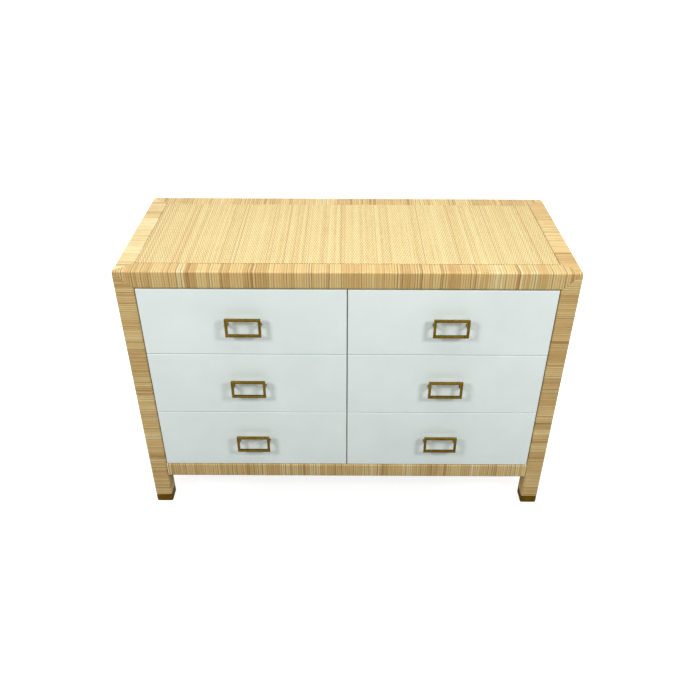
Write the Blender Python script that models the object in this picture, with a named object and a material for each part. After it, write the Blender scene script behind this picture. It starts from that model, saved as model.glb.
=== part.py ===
# Double dresser: a frame wrapped in cane strands, woven panels in the top and sides,
# and six lipped and dovetailed drawers with open brass pulls.
#
# Metres, +Z up. The front faces -Y and the widest side lies along X. The origin is on the
# floor, under the middle of the whole piece with its pulls.
import math

import bmesh
import bpy
from mathutils import Matrix, Vector

# Case
CASE_WIDTH = 1.320
CASE_DEPTH = 0.537
CASE_HEIGHT = 0.902
FRAME_SIZE = 0.055
EDGE_RADIUS = 0.005
OPENING_RADIUS = 0.003
SEAM_RADIUS = 0.0015
LEG_HEIGHT = 0.122
BOTTOM_RAIL_HEIGHT = 0.054
BOTTOM_RAIL_DEPTH = 0.030
TENON_LENGTH = 0.020
TENON_THICKNESS = 0.012
TENON_SHOULDER = 0.009

# Brass foot caps
CAP_HEIGHT = 0.032
CAP_WALL = 0.0015
CAP_FLOOR = 0.004
CAP_EDGE_RADIUS = 0.006

# Panels
TOP_PANEL_THICKNESS = 0.018
SIDE_PANEL_THICKNESS = 0.012
PANEL_RECESS = 0.0005
TONGUE_THICKNESS = 0.005
TONGUE_LENGTH = 0.006
BACK_PANEL_THICKNESS = 0.006
BACK_PANEL_RECESS = 0.008
BOTTOM_PANEL_THICKNESS = 0.008
BOTTOM_PANEL_DROP = 0.010

# Divider and runners
DIVIDER_THICKNESS = 0.020
RUNNER_SIDE_THICKNESS = 0.012
RUNNER_WIDTH = 0.020
RUNNER_SET_BACK = 0.001

# Drawers
COLUMNS = ("left", "right")
ROWS = ("top", "middle", "bottom")
LIP_THICKNESS = 0.009
FRONT_THICKNESS = 0.021
FRONT_EDGE_RADIUS = 0.0012
OUTER_LIP = 0.002
BOX_RISE = 0.020
BOX_DROP = 0.015
SIDE_THICKNESS = 0.012
BACK_THICKNESS = 0.012
DRAWER_BOTTOM_THICKNESS = 0.006
DRAWER_BOTTOM_HEIGHT = 0.010
BOTTOM_GROOVE_DEPTH = 0.006
TAIL_COUNT = 4
TAIL_SLOPE = 6.0
PIN_NECK = 0.012

# Pulls
PULL_WIDTH = 0.105
PULL_HEIGHT = 0.061
PULL_BAR = 0.008
PULL_STANDOFF = 0.020
PULL_POST_RADIUS = 0.0035
PULL_FOOT_RADIUS = 0.005
PULL_EDGE_RADIUS = 0.0014
PULL_DROP = 0.003

# Clearances
SEAT_GAP = 0.0003
FRONT_RECESS = 0.001
SIDE_GAP = 0.003
CENTRE_GAP = 0.0035
TOP_GAP = 0.003
ROW_GAP = 0.0025
BOTTOM_GAP = 0.003
GUIDE_GAP = 0.003
KICKER_GAP = 0.002
RUNNER_GAP = 0.0006
BACK_GAP = 0.012

# How finely rounded edges and round pieces are faceted
EDGE_SEGMENTS = 3
SMALL_EDGE_SEGMENTS = 2
POST_SEGMENTS = 16
NEAR = 1e-6
OVERSHOOT = 0.002
SHARP_ANGLE = math.radians(35)

# Places that follow from the sizes above
HALF_WIDTH = CASE_WIDTH / 2
FRONT_Y = (PULL_STANDOFF + PULL_BAR - FRONT_RECESS - CASE_DEPTH) / 2
BACK_Y = FRONT_Y + CASE_DEPTH
INNER_X = HALF_WIDTH - FRAME_SIZE
INNER_FRONT_Y = FRONT_Y + FRAME_SIZE
INNER_BACK_Y = BACK_Y - FRAME_SIZE
OPENING_TOP = CASE_HEIGHT - FRAME_SIZE
OPENING_BOTTOM = LEG_HEIGHT + BOTTOM_RAIL_HEIGHT
TOP_PANEL_TOP = CASE_HEIGHT - PANEL_RECESS
TOP_PANEL_UNDERSIDE = TOP_PANEL_TOP - TOP_PANEL_THICKNESS
BOTTOM_PANEL_TOP = OPENING_BOTTOM - BOTTOM_PANEL_DROP
BACK_PANEL_Y = BACK_Y - BACK_PANEL_RECESS - BACK_PANEL_THICKNESS
FACE_Y = FRONT_Y + FRONT_RECESS
LIP_BACK_Y = FACE_Y + LIP_THICKNESS
FRONT_WIDTH = INNER_X - SIDE_GAP - CENTRE_GAP / 2
FRONT_HEIGHT = (OPENING_TOP - OPENING_BOTTOM - TOP_GAP - BOTTOM_GAP
                - (len(ROWS) - 1) * ROW_GAP) / len(ROWS)
FRONT_CENTRE_X = (CENTRE_GAP + FRONT_WIDTH) / 2
BOX_OUTER_X = INNER_X - SIDE_GAP - OUTER_LIP
BOX_INNER_X = DIVIDER_THICKNESS / 2 + GUIDE_GAP
BOX_WIDTH = BOX_OUTER_X - BOX_INNER_X
BOX_SHIFT = (BOX_OUTER_X + BOX_INNER_X) / 2 - FRONT_CENTRE_X
BOX_LOW = -FRONT_HEIGHT / 2 + BOX_RISE
BOX_HIGH = FRONT_HEIGHT / 2 - BOX_DROP
BOX_HEIGHT = BOX_HIGH - BOX_LOW
BOX_BACK = BACK_PANEL_Y - BACK_GAP - FACE_Y


def row_centre(row):
    """Height of the middle of a row's drawer fronts, counted from the top row."""
    return OPENING_TOP - TOP_GAP - FRONT_HEIGHT / 2 - row * (FRONT_HEIGHT + ROW_GAP)


# Scene and materials

def clear_scene():
    for thing in list(bpy.data.objects):
        bpy.data.objects.remove(thing, do_unlink=True)


def new_collection(name):
    collection = bpy.data.collections.new(name)
    bpy.context.scene.collection.children.link(collection)
    return collection


def new_material(name, colour, roughness, metallic=0.0):
    material = bpy.data.materials.new(name)
    material.use_nodes = True
    shader = material.node_tree.nodes["Principled BSDF"]
    shader.inputs["Base Color"].default_value = (*colour, 1.0)
    shader.inputs["Roughness"].default_value = roughness
    shader.inputs["Metallic"].default_value = metallic
    material.diffuse_color = (*colour, 1.0)
    return material


clear_scene()
DRESSER = new_collection("double_dresser")
WORKSHOP = new_collection("cutters")
CANE = new_material("cane_wrap", (0.62, 0.42, 0.20), 0.55)
MAT = new_material("woven_mat", (0.78, 0.60, 0.34), 0.60)
LACQUER = new_material("white_lacquer", (0.78, 0.81, 0.80), 0.30)
BRASS = new_material("aged_brass", (0.30, 0.20, 0.05), 0.35, 1.0)
BOX_WOOD = new_material("drawer_wood", (0.66, 0.50, 0.32), 0.50)
PLYWOOD = new_material("plywood", (0.56, 0.42, 0.27), 0.60)


# Shapes

def box(low, high):
    """A closed box between two corners, as a bmesh."""
    shape = bmesh.new()
    bmesh.ops.create_cube(shape, size=1.0)
    low, high = Vector(low), Vector(high)
    bmesh.ops.scale(shape, vec=high - low, verts=shape.verts)
    bmesh.ops.translate(shape, vec=(high + low) / 2, verts=shape.verts)
    return shape


def edges_at(shape, **place):
    """Edges whose two ends both have the given x, y or z."""
    wanted = {"xyz".index(axis): value for axis, value in place.items()}
    return [edge for edge in shape.edges
            if all(abs(end.co[axis] - value) < NEAR
                   for end in edge.verts for axis, value in wanted.items())]


def round_edges(shape, edges, radius, segments=EDGE_SEGMENTS):
    bmesh.ops.bevel(shape, geom=edges, offset=radius, offset_type="OFFSET", segments=segments,
                    profile=0.5, affect="EDGES", material=-1, clamp_overlap=True)


def make(name, shape, material, collection=None):
    """Turns a bmesh into an object of the dresser."""
    bmesh.ops.recalc_face_normals(shape, faces=shape.faces)
    mesh = bpy.data.meshes.new(name)
    shape.to_mesh(mesh)
    shape.free()
    return make_from_mesh(name, mesh, material, collection)


def make_from_mesh(name, mesh, material, collection=None):
    mesh.name = name
    mesh.materials.clear()
    mesh.materials.append(material)
    mesh.shade_smooth()
    mesh.set_sharp_from_angle(angle=SHARP_ANGLE)
    thing = bpy.data.objects.new(name, mesh)
    (collection or DRESSER).objects.link(thing)
    return thing


def make_cutter(shape):
    cutter = make("cutter", shape, PLYWOOD, WORKSHOP)
    cutter.hide_render = True
    cutter.display_type = "WIRE"
    return cutter


def evaluated_mesh(thing):
    bpy.context.view_layer.update()
    depsgraph = bpy.context.evaluated_depsgraph_get()
    return bpy.data.meshes.new_from_object(thing.evaluated_get(depsgraph))


def combine(thing, shape, operation):
    """Cuts a bmesh out of an object, or joins it on, and keeps the result as its mesh."""
    tool = make_cutter(shape)
    modifier = thing.modifiers.new("combine", "BOOLEAN")
    modifier.operation = operation
    modifier.solver = "EXACT"
    modifier.object = tool
    result = evaluated_mesh(thing)
    thing.modifiers.remove(modifier)
    bpy.data.objects.remove(tool, do_unlink=True)
    worked = thing.data
    thing.data = result
    result.name = worked.name
    bpy.data.meshes.remove(worked)
    result.shade_smooth()
    result.set_sharp_from_angle(angle=SHARP_ANGLE)


def cut(thing, shape):
    combine(thing, shape, "DIFFERENCE")


def join(thing, shape):
    combine(thing, shape, "UNION")


def grown(low, high, gap):
    """The corners of a box that leaves a gap all round another one."""
    return Vector(low) - Vector((gap,) * 3), Vector(high) + Vector((gap,) * 3)


ACROSS_X = Matrix(((0, 0, 1, 0), (1, 0, 0, 0), (0, 1, 0, 0), (0, 0, 0, 1)))
ACROSS_Y = Matrix.Rotation(math.pi / 2, 4, "X")


def plate(outlines, thickness, turn, centre):
    """Flat outlines, given as lists of corners, made into a plate of one thickness."""
    shape = bmesh.new()
    for corners in outlines:
        face = shape.faces.new([shape.verts.new((*corner, -thickness / 2)) for corner in corners])
        lifted = bmesh.ops.extrude_face_region(shape, geom=[face], use_keep_orig=True)
        moved = [part for part in lifted["geom"] if isinstance(part, bmesh.types.BMVert)]
        bmesh.ops.translate(shape, vec=(0, 0, thickness), verts=moved)
    bmesh.ops.transform(shape, matrix=Matrix.Translation(centre) @ turn, verts=shape.verts)
    bmesh.ops.recalc_face_normals(shape, faces=shape.faces)
    return shape


# Frame

DOWN = Vector((0, 0, -1))


def mitre(shape, corner, keep, drop):
    """Cuts a member where it meets the one that leaves the corner in another direction."""
    normal = (drop - keep).normalized()
    geometry = list(shape.verts) + list(shape.edges) + list(shape.faces)
    bmesh.ops.bisect_plane(shape, geom=geometry, plane_co=corner - normal * SEAT_GAP / 2,
                           plane_no=normal, clear_outer=True)
    bmesh.ops.holes_fill(shape, edges=[edge for edge in shape.edges if edge.is_boundary])


def frame_corner(side, end):
    """An outer top corner of the frame, and the ways in from it along X and Y."""
    corner = Vector((side * HALF_WIDTH, FRONT_Y if end < 0 else BACK_Y, CASE_HEIGHT))
    return corner, Vector((-side, 0, 0)), Vector((0, -end, 0))


def foot_block(side, end, inset, low, high):
    """An upright block between two heights, set in from the square outline of a post."""
    corner, inward_x, inward_y = frame_corner(side, end)
    inner = corner + (inward_x + inward_y) * FRAME_SIZE
    return box((min(corner.x, inner.x) + inset, min(corner.y, inner.y) + inset, low),
               (max(corner.x, inner.x) - inset, max(corner.y, inner.y) - inset, high))


def upright_edges(shape):
    """The four edges of a plain block that stand upright."""
    return [edge for edge in shape.edges
            if abs(edge.verts[0].co.z - edge.verts[1].co.z) > NEAR]


def make_post(side, end):
    name = f"post_{'front' if end < 0 else 'back'}_{'left' if side < 0 else 'right'}"
    corner, inward_x, inward_y = frame_corner(side, end)
    inner = corner + (inward_x + inward_y) * FRAME_SIZE
    low = (min(corner.x, inner.x), min(corner.y, inner.y), CAP_HEIGHT + SEAT_GAP)
    high = (max(corner.x, inner.x), max(corner.y, inner.y), CASE_HEIGHT)
    shape = box(low, high)
    round_edges(shape, edges_at(shape, x=corner.x, y=corner.y), EDGE_RADIUS)
    round_edges(shape, edges_at(shape, x=inner.x, y=corner.y), OPENING_RADIUS)
    round_edges(shape, edges_at(shape, x=inner.x, y=inner.y), OPENING_RADIUS)
    round_edges(shape, edges_at(shape, x=corner.x, y=inner.y), SEAM_RADIUS)
    mitre(shape, corner, DOWN, inward_x)
    mitre(shape, corner, DOWN, inward_y)
    post = make(name, shape, CANE)
    peg = foot_block(side, end, CAP_WALL + SEAT_GAP, CAP_FLOOR + SEAT_GAP,
                     CAP_HEIGHT + SEAT_GAP + OVERSHOOT)
    round_edges(peg, upright_edges(peg), CAP_EDGE_RADIUS - CAP_WALL - SEAT_GAP)
    join(post, peg)
    return post


def make_foot_cap(side, end):
    """A brass cup that the post's foot stands in, open at the top."""
    name = f"foot_cap_{'front' if end < 0 else 'back'}_{'left' if side < 0 else 'right'}"
    shape = foot_block(side, end, 0, 0, CAP_HEIGHT)
    round_edges(shape, upright_edges(shape) + edges_at(shape, z=0.0), CAP_EDGE_RADIUS)
    rim = [face for face in shape.faces if face.normal.z > 0.9]
    bmesh.ops.inset_region(shape, faces=rim, thickness=CAP_WALL, use_even_offset=True,
                           use_boundary=True)
    pocket = bmesh.ops.extrude_face_region(shape, geom=rim)
    moved = [part for part in pocket["geom"] if isinstance(part, bmesh.types.BMVert)]
    bmesh.ops.delete(shape, geom=rim, context="FACES_ONLY")
    bmesh.ops.translate(shape, vec=(0, 0, CAP_FLOOR - CAP_HEIGHT), verts=moved)
    return make(name, shape, BRASS)


def make_long_top_rail(end):
    """The front or back top rail, mitred to the posts and to the side rails."""
    left, right_way, inward_y = frame_corner(-1, end)
    right, left_way, _ = frame_corner(1, end)
    inner_y = left.y + inward_y.y * FRAME_SIZE
    shape = box((left.x, min(left.y, inner_y), OPENING_TOP),
                (right.x, max(left.y, inner_y), CASE_HEIGHT))
    round_edges(shape, edges_at(shape, y=left.y, z=CASE_HEIGHT), EDGE_RADIUS)
    round_edges(shape, edges_at(shape, y=left.y, z=OPENING_TOP), OPENING_RADIUS)
    round_edges(shape, edges_at(shape, y=inner_y, z=CASE_HEIGHT), SEAM_RADIUS)
    for corner, along in ((left, right_way), (right, left_way)):
        mitre(shape, corner, along, DOWN)
        mitre(shape, corner, along, inward_y)
    return make(f"top_rail_{'front' if end < 0 else 'back'}", shape, CANE)


def make_side_top_rail(side):
    """The left or right top rail, mitred to the posts and to the long rails."""
    front, inward_x, back_way = frame_corner(side, -1)
    back, _, front_way = frame_corner(side, 1)
    inner_x = front.x + inward_x.x * FRAME_SIZE
    shape = box((min(front.x, inner_x), front.y, OPENING_TOP),
                (max(front.x, inner_x), back.y, CASE_HEIGHT))
    round_edges(shape, edges_at(shape, x=front.x, z=CASE_HEIGHT), EDGE_RADIUS)
    round_edges(shape, edges_at(shape, x=front.x, z=OPENING_TOP), SEAM_RADIUS)
    round_edges(shape, edges_at(shape, x=inner_x, z=CASE_HEIGHT), SEAM_RADIUS)
    for corner, along in ((front, back_way), (back, front_way)):
        mitre(shape, corner, along, DOWN)
        mitre(shape, corner, along, inward_x)
    return make(f"top_rail_{'left' if side < 0 else 'right'}", shape, CANE)


def make_long_bottom_rail(end, posts):
    """The front or back bottom rail, between two posts, with a tenon in each."""
    outer_y = FRONT_Y if end < 0 else BACK_Y
    inner_y = outer_y - end * BOTTOM_RAIL_DEPTH
    low = Vector((-INNER_X + SEAT_GAP, min(outer_y, inner_y), LEG_HEIGHT))
    high = Vector((INNER_X - SEAT_GAP, max(outer_y, inner_y), OPENING_BOTTOM))
    shape = box(low, high)
    round_edges(shape, edges_at(shape, y=outer_y, z=OPENING_BOTTOM), OPENING_RADIUS)
    round_edges(shape, edges_at(shape, y=outer_y, z=LEG_HEIGHT), OPENING_RADIUS)
    rail = make(f"bottom_rail_{'front' if end < 0 else 'back'}", shape, CANE)
    tenon_y = sorted((outer_y - end * TENON_SHOULDER,
                      outer_y - end * (TENON_SHOULDER + TENON_THICKNESS)))
    for side, post in zip((-1, 1), posts):
        reach = sorted((side * (INNER_X - TENON_SHOULDER), side * (INNER_X + TENON_LENGTH)))
        tenon_low = Vector((reach[0], tenon_y[0], LEG_HEIGHT + TENON_SHOULDER))
        tenon_high = Vector((reach[1], tenon_y[1], OPENING_BOTTOM - TENON_SHOULDER))
        join(rail, box(tenon_low, tenon_high))
        cut(post, box(*grown(tenon_low, tenon_high, SEAT_GAP)))
    return rail


def make_side_bottom_rail(side, posts):
    """A side bottom rail, between a front and a back post, with a tenon in each."""
    outer_x = side * HALF_WIDTH
    inner_x = outer_x - side * BOTTOM_RAIL_DEPTH
    low = Vector((min(outer_x, inner_x), INNER_FRONT_Y + SEAT_GAP, LEG_HEIGHT))
    high = Vector((max(outer_x, inner_x), INNER_BACK_Y - SEAT_GAP, OPENING_BOTTOM))
    shape = box(low, high)
    round_edges(shape, edges_at(shape, x=outer_x, z=OPENING_BOTTOM), SEAM_RADIUS)
    round_edges(shape, edges_at(shape, x=outer_x, z=LEG_HEIGHT), OPENING_RADIUS)
    rail = make(f"bottom_rail_{'left' if side < 0 else 'right'}", shape, CANE)
    tenon_x = sorted((outer_x - side * TENON_SHOULDER,
                      outer_x - side * (TENON_SHOULDER + TENON_THICKNESS)))
    for end, shoulder_y, post in zip((-1, 1), (INNER_FRONT_Y, INNER_BACK_Y), posts):
        reach = sorted((shoulder_y - end * TENON_SHOULDER, shoulder_y + end * TENON_LENGTH))
        tenon_low = Vector((tenon_x[0], reach[0], LEG_HEIGHT + TENON_SHOULDER))
        tenon_high = Vector((tenon_x[1], reach[1], OPENING_BOTTOM - TENON_SHOULDER))
        join(rail, box(tenon_low, tenon_high))
        cut(post, box(*grown(tenon_low, tenon_high, SEAT_GAP)))
    return rail


# Panels

def make_tongued_panel(name, low, high, thin_axis, members):
    """A board flush in its frame, with a tongue all round that sits in the members' grooves."""
    low, high = Vector(low), Vector(high)
    tongue_low, tongue_high = low.copy(), high.copy()
    for axis in range(3):
        if axis == thin_axis:
            middle = (low[axis] + high[axis]) / 2
            tongue_low[axis] = middle - TONGUE_THICKNESS / 2
            tongue_high[axis] = middle + TONGUE_THICKNESS / 2
        else:
            tongue_low[axis] -= TONGUE_LENGTH
            tongue_high[axis] += TONGUE_LENGTH
    panel = make(name, box(low, high), MAT)
    join(panel, box(tongue_low, tongue_high))
    for member in members:
        cut(member, box(*grown(tongue_low, tongue_high, SEAT_GAP)))
    return panel


def make_top_panel(rails):
    low = (-INNER_X + SEAT_GAP, INNER_FRONT_Y + SEAT_GAP, TOP_PANEL_UNDERSIDE)
    high = (INNER_X - SEAT_GAP, INNER_BACK_Y - SEAT_GAP, TOP_PANEL_TOP)
    return make_tongued_panel("top_panel", low, high, 2, rails)


def make_side_panel(side, members):
    outer_x = side * (HALF_WIDTH - PANEL_RECESS)
    inner_x = outer_x - side * SIDE_PANEL_THICKNESS
    low = (min(outer_x, inner_x), INNER_FRONT_Y + SEAT_GAP, OPENING_BOTTOM + SEAT_GAP)
    high = (max(outer_x, inner_x), INNER_BACK_Y - SEAT_GAP, OPENING_TOP - SEAT_GAP)
    name = f"side_panel_{'left' if side < 0 else 'right'}"
    return make_tongued_panel(name, low, high, 0, members)


def make_back_panel(members):
    """Thin plywood, let into grooves of the back posts and rails."""
    low = Vector((-INNER_X - TONGUE_LENGTH, BACK_PANEL_Y, OPENING_BOTTOM - TONGUE_LENGTH))
    high = Vector((INNER_X + TONGUE_LENGTH, BACK_PANEL_Y + BACK_PANEL_THICKNESS,
                   OPENING_TOP + TONGUE_LENGTH))
    for member in members:
        cut(member, box(*grown(low, high, SEAT_GAP)))
    return make("back_panel", box(low, high), PLYWOOD)


def make_bottom_panel(rails):
    """The dust panel under the lowest drawers, notched round the four posts."""
    reach_x = HALF_WIDTH - BOTTOM_RAIL_DEPTH + TONGUE_LENGTH
    reach_y = BOTTOM_RAIL_DEPTH - TONGUE_LENGTH
    low = Vector((-reach_x, FRONT_Y + reach_y, BOTTOM_PANEL_TOP - BOTTOM_PANEL_THICKNESS))
    high = Vector((reach_x, BACK_Y - reach_y, BOTTOM_PANEL_TOP))
    for rail in rails:
        cut(rail, box(*grown(low, high, SEAT_GAP)))
    panel = make("bottom_panel", box(low, high), PLYWOOD)
    for side in (-1, 1):
        for outer_y, inner_y in ((FRONT_Y, INNER_FRONT_Y), (BACK_Y, INNER_BACK_Y)):
            xs = sorted((side * HALF_WIDTH, side * INNER_X))
            ys = sorted((outer_y, inner_y))
            post_low = (xs[0], ys[0], low.z)
            post_high = (xs[1], ys[1], high.z)
            cut(panel, box(*grown(post_low, post_high, SEAT_GAP)))
    return panel


# Divider and runners

def runner_heights():
    """Low and high edge of each runner, from the floor up. The ones between two rows carry
    the upper drawer and keep the lower one from tipping; the highest only does the latter."""
    bounds = []
    low = OPENING_BOTTOM + RUNNER_GAP
    for row in reversed(range(len(ROWS))):
        bounds.append((low, row_centre(row) + BOX_LOW - SEAT_GAP))
        low = row_centre(row) + BOX_HIGH + KICKER_GAP
    bounds.append((low, OPENING_TOP - RUNNER_GAP))
    return bounds


RUNNER_FRONT_Y = LIP_BACK_Y + SEAT_GAP
RUNNER_BACK_Y = BACK_PANEL_Y - SEAT_GAP


def runner_outline(side):
    """A side runner seen from above: housed in its board, and free beside both posts."""
    tip_x = side * (INNER_X - SEAT_GAP - RUNNER_WIDTH)
    free_x = side * (INNER_X - SEAT_GAP)
    housed_x = side * (INNER_X + RUNNER_SIDE_THICKNESS / 2)
    start_y, stop_y = INNER_FRONT_Y + 2 * SEAT_GAP, INNER_BACK_Y - 2 * SEAT_GAP
    return [(tip_x, RUNNER_FRONT_Y), (tip_x, RUNNER_BACK_Y), (free_x, RUNNER_BACK_Y),
            (free_x, stop_y), (housed_x, stop_y), (housed_x, start_y),
            (free_x, start_y), (free_x, RUNNER_FRONT_Y)]


def make_runner_side(side):
    """The board behind a side panel, with four runners that reach past the posts."""
    xs = sorted((side * INNER_X, side * (INNER_X + RUNNER_SIDE_THICKNESS)))
    name = f"runner_side_{'left' if side < 0 else 'right'}"
    board = make(name, box((xs[0], INNER_FRONT_Y + SEAT_GAP, BOTTOM_PANEL_TOP + SEAT_GAP),
                           (xs[1], INNER_BACK_Y - SEAT_GAP, OPENING_TOP - SEAT_GAP)), PLYWOOD)
    for low, high in runner_heights():
        middle = Vector((0, 0, (low + high) / 2))
        join(board, plate([runner_outline(side)], high - low, Matrix.Identity(4), middle))
    return board


def divider_outline():
    """The divider seen from beside it: a board notched round the four long rails."""
    low_z = BOTTOM_PANEL_TOP + SEAT_GAP
    high_z = TOP_PANEL_UNDERSIDE - SEAT_GAP
    front_top, back_top = INNER_FRONT_Y + SEAT_GAP, INNER_BACK_Y - SEAT_GAP
    front_low = FRONT_Y + BOTTOM_RAIL_DEPTH + SEAT_GAP
    back_low = BACK_Y - BOTTOM_RAIL_DEPTH - SEAT_GAP
    over_rail, under_rail = OPENING_BOTTOM + SEAT_GAP, OPENING_TOP - SEAT_GAP
    return [(front_low, low_z), (back_low, low_z),
            (back_low, over_rail), (RUNNER_BACK_Y, over_rail),
            (RUNNER_BACK_Y, under_rail), (back_top, under_rail),
            (back_top, high_z), (front_top, high_z),
            (front_top, under_rail), (RUNNER_FRONT_Y, under_rail),
            (RUNNER_FRONT_Y, over_rail), (front_low, over_rail)]


def make_centre_divider():
    """The upright between the columns, with four runners on each face."""
    board = plate([divider_outline()], DIVIDER_THICKNESS, ACROSS_X, Vector())
    divider = make("centre_divider", board, PLYWOOD)
    reach = DIVIDER_THICKNESS / 2 + RUNNER_WIDTH
    for low, high in runner_heights():
        join(divider, box((-reach, RUNNER_FRONT_Y + RUNNER_SET_BACK, low),
                          (reach, RUNNER_BACK_Y - RUNNER_SET_BACK, high)))
    return divider


# Drawers, each built about the middle of its front's face

def tail_bounds(wide_end, root, tip, gap=0.0):
    """Corner points of the dovetails along one end of a drawer side, low to high.
    wide_end is the y at which a tail has its full width; root and tip are where it is cut."""
    pitch = BOX_HEIGHT / TAIL_COUNT
    half = (pitch - PIN_NECK) / 2 + gap
    narrow_root = half - abs(wide_end - root) / TAIL_SLOPE
    narrow_tip = half + abs(tip - wide_end) / TAIL_SLOPE
    tails = []
    for index in range(TAIL_COUNT):
        middle = BOX_LOW + (index + 0.5) * pitch
        tails.append([(root, middle - narrow_root), (tip, middle - narrow_tip),
                      (tip, middle + narrow_tip), (root, middle + narrow_root)])
    return tails


def side_outline():
    """A drawer side seen from beside it: tails at the front, tails at the back."""
    front = tail_bounds(LIP_THICKNESS, FRONT_THICKNESS + SEAT_GAP, LIP_THICKNESS)
    back = tail_bounds(BOX_BACK, BOX_BACK - BACK_THICKNESS - SEAT_GAP, BOX_BACK)
    corners = [(FRONT_THICKNESS + SEAT_GAP, BOX_LOW)]
    for root_low, tip_low, tip_high, root_high in front:
        inset = SEAT_GAP
        corners += [root_low, (tip_low[0] + inset, tip_low[1]),
                    (tip_high[0] + inset, tip_high[1]), root_high]
    corners += [(FRONT_THICKNESS + SEAT_GAP, BOX_HIGH),
                (BOX_BACK - BACK_THICKNESS - SEAT_GAP, BOX_HIGH)]
    for root_low, tip_low, tip_high, root_high in reversed(back):
        corners += [root_high, tip_high, tip_low, root_low]
    corners.append((BOX_BACK - BACK_THICKNESS - SEAT_GAP, BOX_LOW))
    return corners


def bottom_bounds():
    """The drawer bottom, which reaches into a groove of each board round it."""
    reach_x = BOX_WIDTH / 2 - SIDE_THICKNESS + BOTTOM_GROOVE_DEPTH
    low_z = BOX_LOW + DRAWER_BOTTOM_HEIGHT
    low = Vector((-reach_x, FRONT_THICKNESS - BOTTOM_GROOVE_DEPTH, low_z))
    high = Vector((reach_x, BOX_BACK - BACK_THICKNESS + BOTTOM_GROOVE_DEPTH,
                   low_z + DRAWER_BOTTOM_THICKNESS))
    return low, high


def bottom_groove():
    return box(*grown(*bottom_bounds(), SEAT_GAP))


def drawer_side(name, side):
    shape = plate([side_outline()], SIDE_THICKNESS, ACROSS_X,
                  Vector((side * (BOX_WIDTH - SIDE_THICKNESS) / 2, 0, 0)))
    board = make(name, shape, BOX_WOOD)
    cut(board, bottom_groove())
    return board


def sockets(side, centre_x, wide_end, root, tip):
    """The room that one end's tails need in the board they are let into."""
    outlines = tail_bounds(wide_end, root, tip, SEAT_GAP)
    depth = SIDE_THICKNESS + SEAT_GAP + OVERSHOOT
    middle = centre_x + side * (BOX_WIDTH / 2 - SIDE_THICKNESS - SEAT_GAP + depth / 2)
    return plate(outlines, depth, ACROSS_X, Vector((middle, 0, 0)))


def drawer_front(name, column_side):
    """A lacquered front: a lip that covers the frame's edges, and a thicker core behind it
    with the sockets of the half-blind dovetails."""
    shift = column_side * BOX_SHIFT
    lip = box((-FRONT_WIDTH / 2, 0, -FRONT_HEIGHT / 2),
              (FRONT_WIDTH / 2, LIP_THICKNESS, FRONT_HEIGHT / 2))
    round_edges(lip, edges_at(lip, y=0.0), FRONT_EDGE_RADIUS, SMALL_EDGE_SEGMENTS)
    front = make(name, lip, LACQUER)
    join(front, box((shift - BOX_WIDTH / 2, LIP_THICKNESS / 2, BOX_LOW),
                    (shift + BOX_WIDTH / 2, FRONT_THICKNESS, BOX_HIGH)))
    for side in (-1, 1):
        cut(front, sockets(side, shift, LIP_THICKNESS, FRONT_THICKNESS + OVERSHOOT,
                           LIP_THICKNESS))
    groove = bottom_groove()
    bmesh.ops.translate(groove, vec=(shift, 0, 0), verts=groove.verts)
    cut(front, groove)
    return front


def drawer_back(name):
    back = make(name, box((-BOX_WIDTH / 2, BOX_BACK - BACK_THICKNESS, BOX_LOW),
                          (BOX_WIDTH / 2, BOX_BACK, BOX_HIGH)), BOX_WOOD)
    for side in (-1, 1):
        cut(back, sockets(side, 0, BOX_BACK, BOX_BACK - BACK_THICKNESS - OVERSHOOT,
                          BOX_BACK + OVERSHOOT))
    cut(back, bottom_groove())
    return back


def drawer_bottom(name):
    return make(name, box(*bottom_bounds()), BOX_WOOD)


def drawer_pull(name):
    """An open frame of square bar on two tapered posts, which meet its upright bars. It sits
    a little below the middle of the front."""
    front_y, back_y = -PULL_STANDOFF - PULL_BAR, -PULL_STANDOFF
    frame = box((-PULL_WIDTH / 2, front_y, -PULL_HEIGHT / 2 - PULL_DROP),
                (PULL_WIDTH / 2, back_y, PULL_HEIGHT / 2 - PULL_DROP))
    window = bmesh.ops.inset_individual(
        frame, faces=[face for face in frame.faces if abs(face.normal.y) > 0.9],
        thickness=PULL_BAR, use_even_offset=True)
    panes = [face for face in frame.faces
             if abs(face.normal.y) > 0.9 and face not in window["faces"]]
    bmesh.ops.bridge_loops(frame, edges=[edge for pane in panes for edge in pane.edges])
    bmesh.ops.delete(frame, geom=panes, context="FACES_ONLY")
    bmesh.ops.recalc_face_normals(frame, faces=frame.faces)
    creases = [edge for edge in frame.edges if edge.calc_face_angle(0.0) > SHARP_ANGLE]
    round_edges(frame, creases, PULL_EDGE_RADIUS, SMALL_EDGE_SEGMENTS)
    pull = make(name, frame, BRASS)
    length = PULL_STANDOFF - SEAT_GAP + PULL_BAR / 2
    for side in (-1, 1):
        post = bmesh.new()
        bmesh.ops.create_cone(post, cap_ends=True, segments=POST_SEGMENTS,
                              radius1=PULL_FOOT_RADIUS, radius2=PULL_POST_RADIUS, depth=length)
        place = Vector((side * (PULL_WIDTH - PULL_BAR) / 2, -SEAT_GAP - length / 2, -PULL_DROP))
        bmesh.ops.transform(post, matrix=Matrix.Translation(place) @ ACROSS_Y, verts=post.verts)
        join(pull, post)
    return pull


# Assembly

def place_at_own_centre(thing):
    """Moves a piece's origin to the middle of its box, and leaves the piece where it is."""
    corners = [Vector(corner) for corner in thing.bound_box]
    middle = (corners[0] + corners[6]) / 2
    thing.data.transform(Matrix.Translation(-middle))
    thing.location = middle


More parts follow.
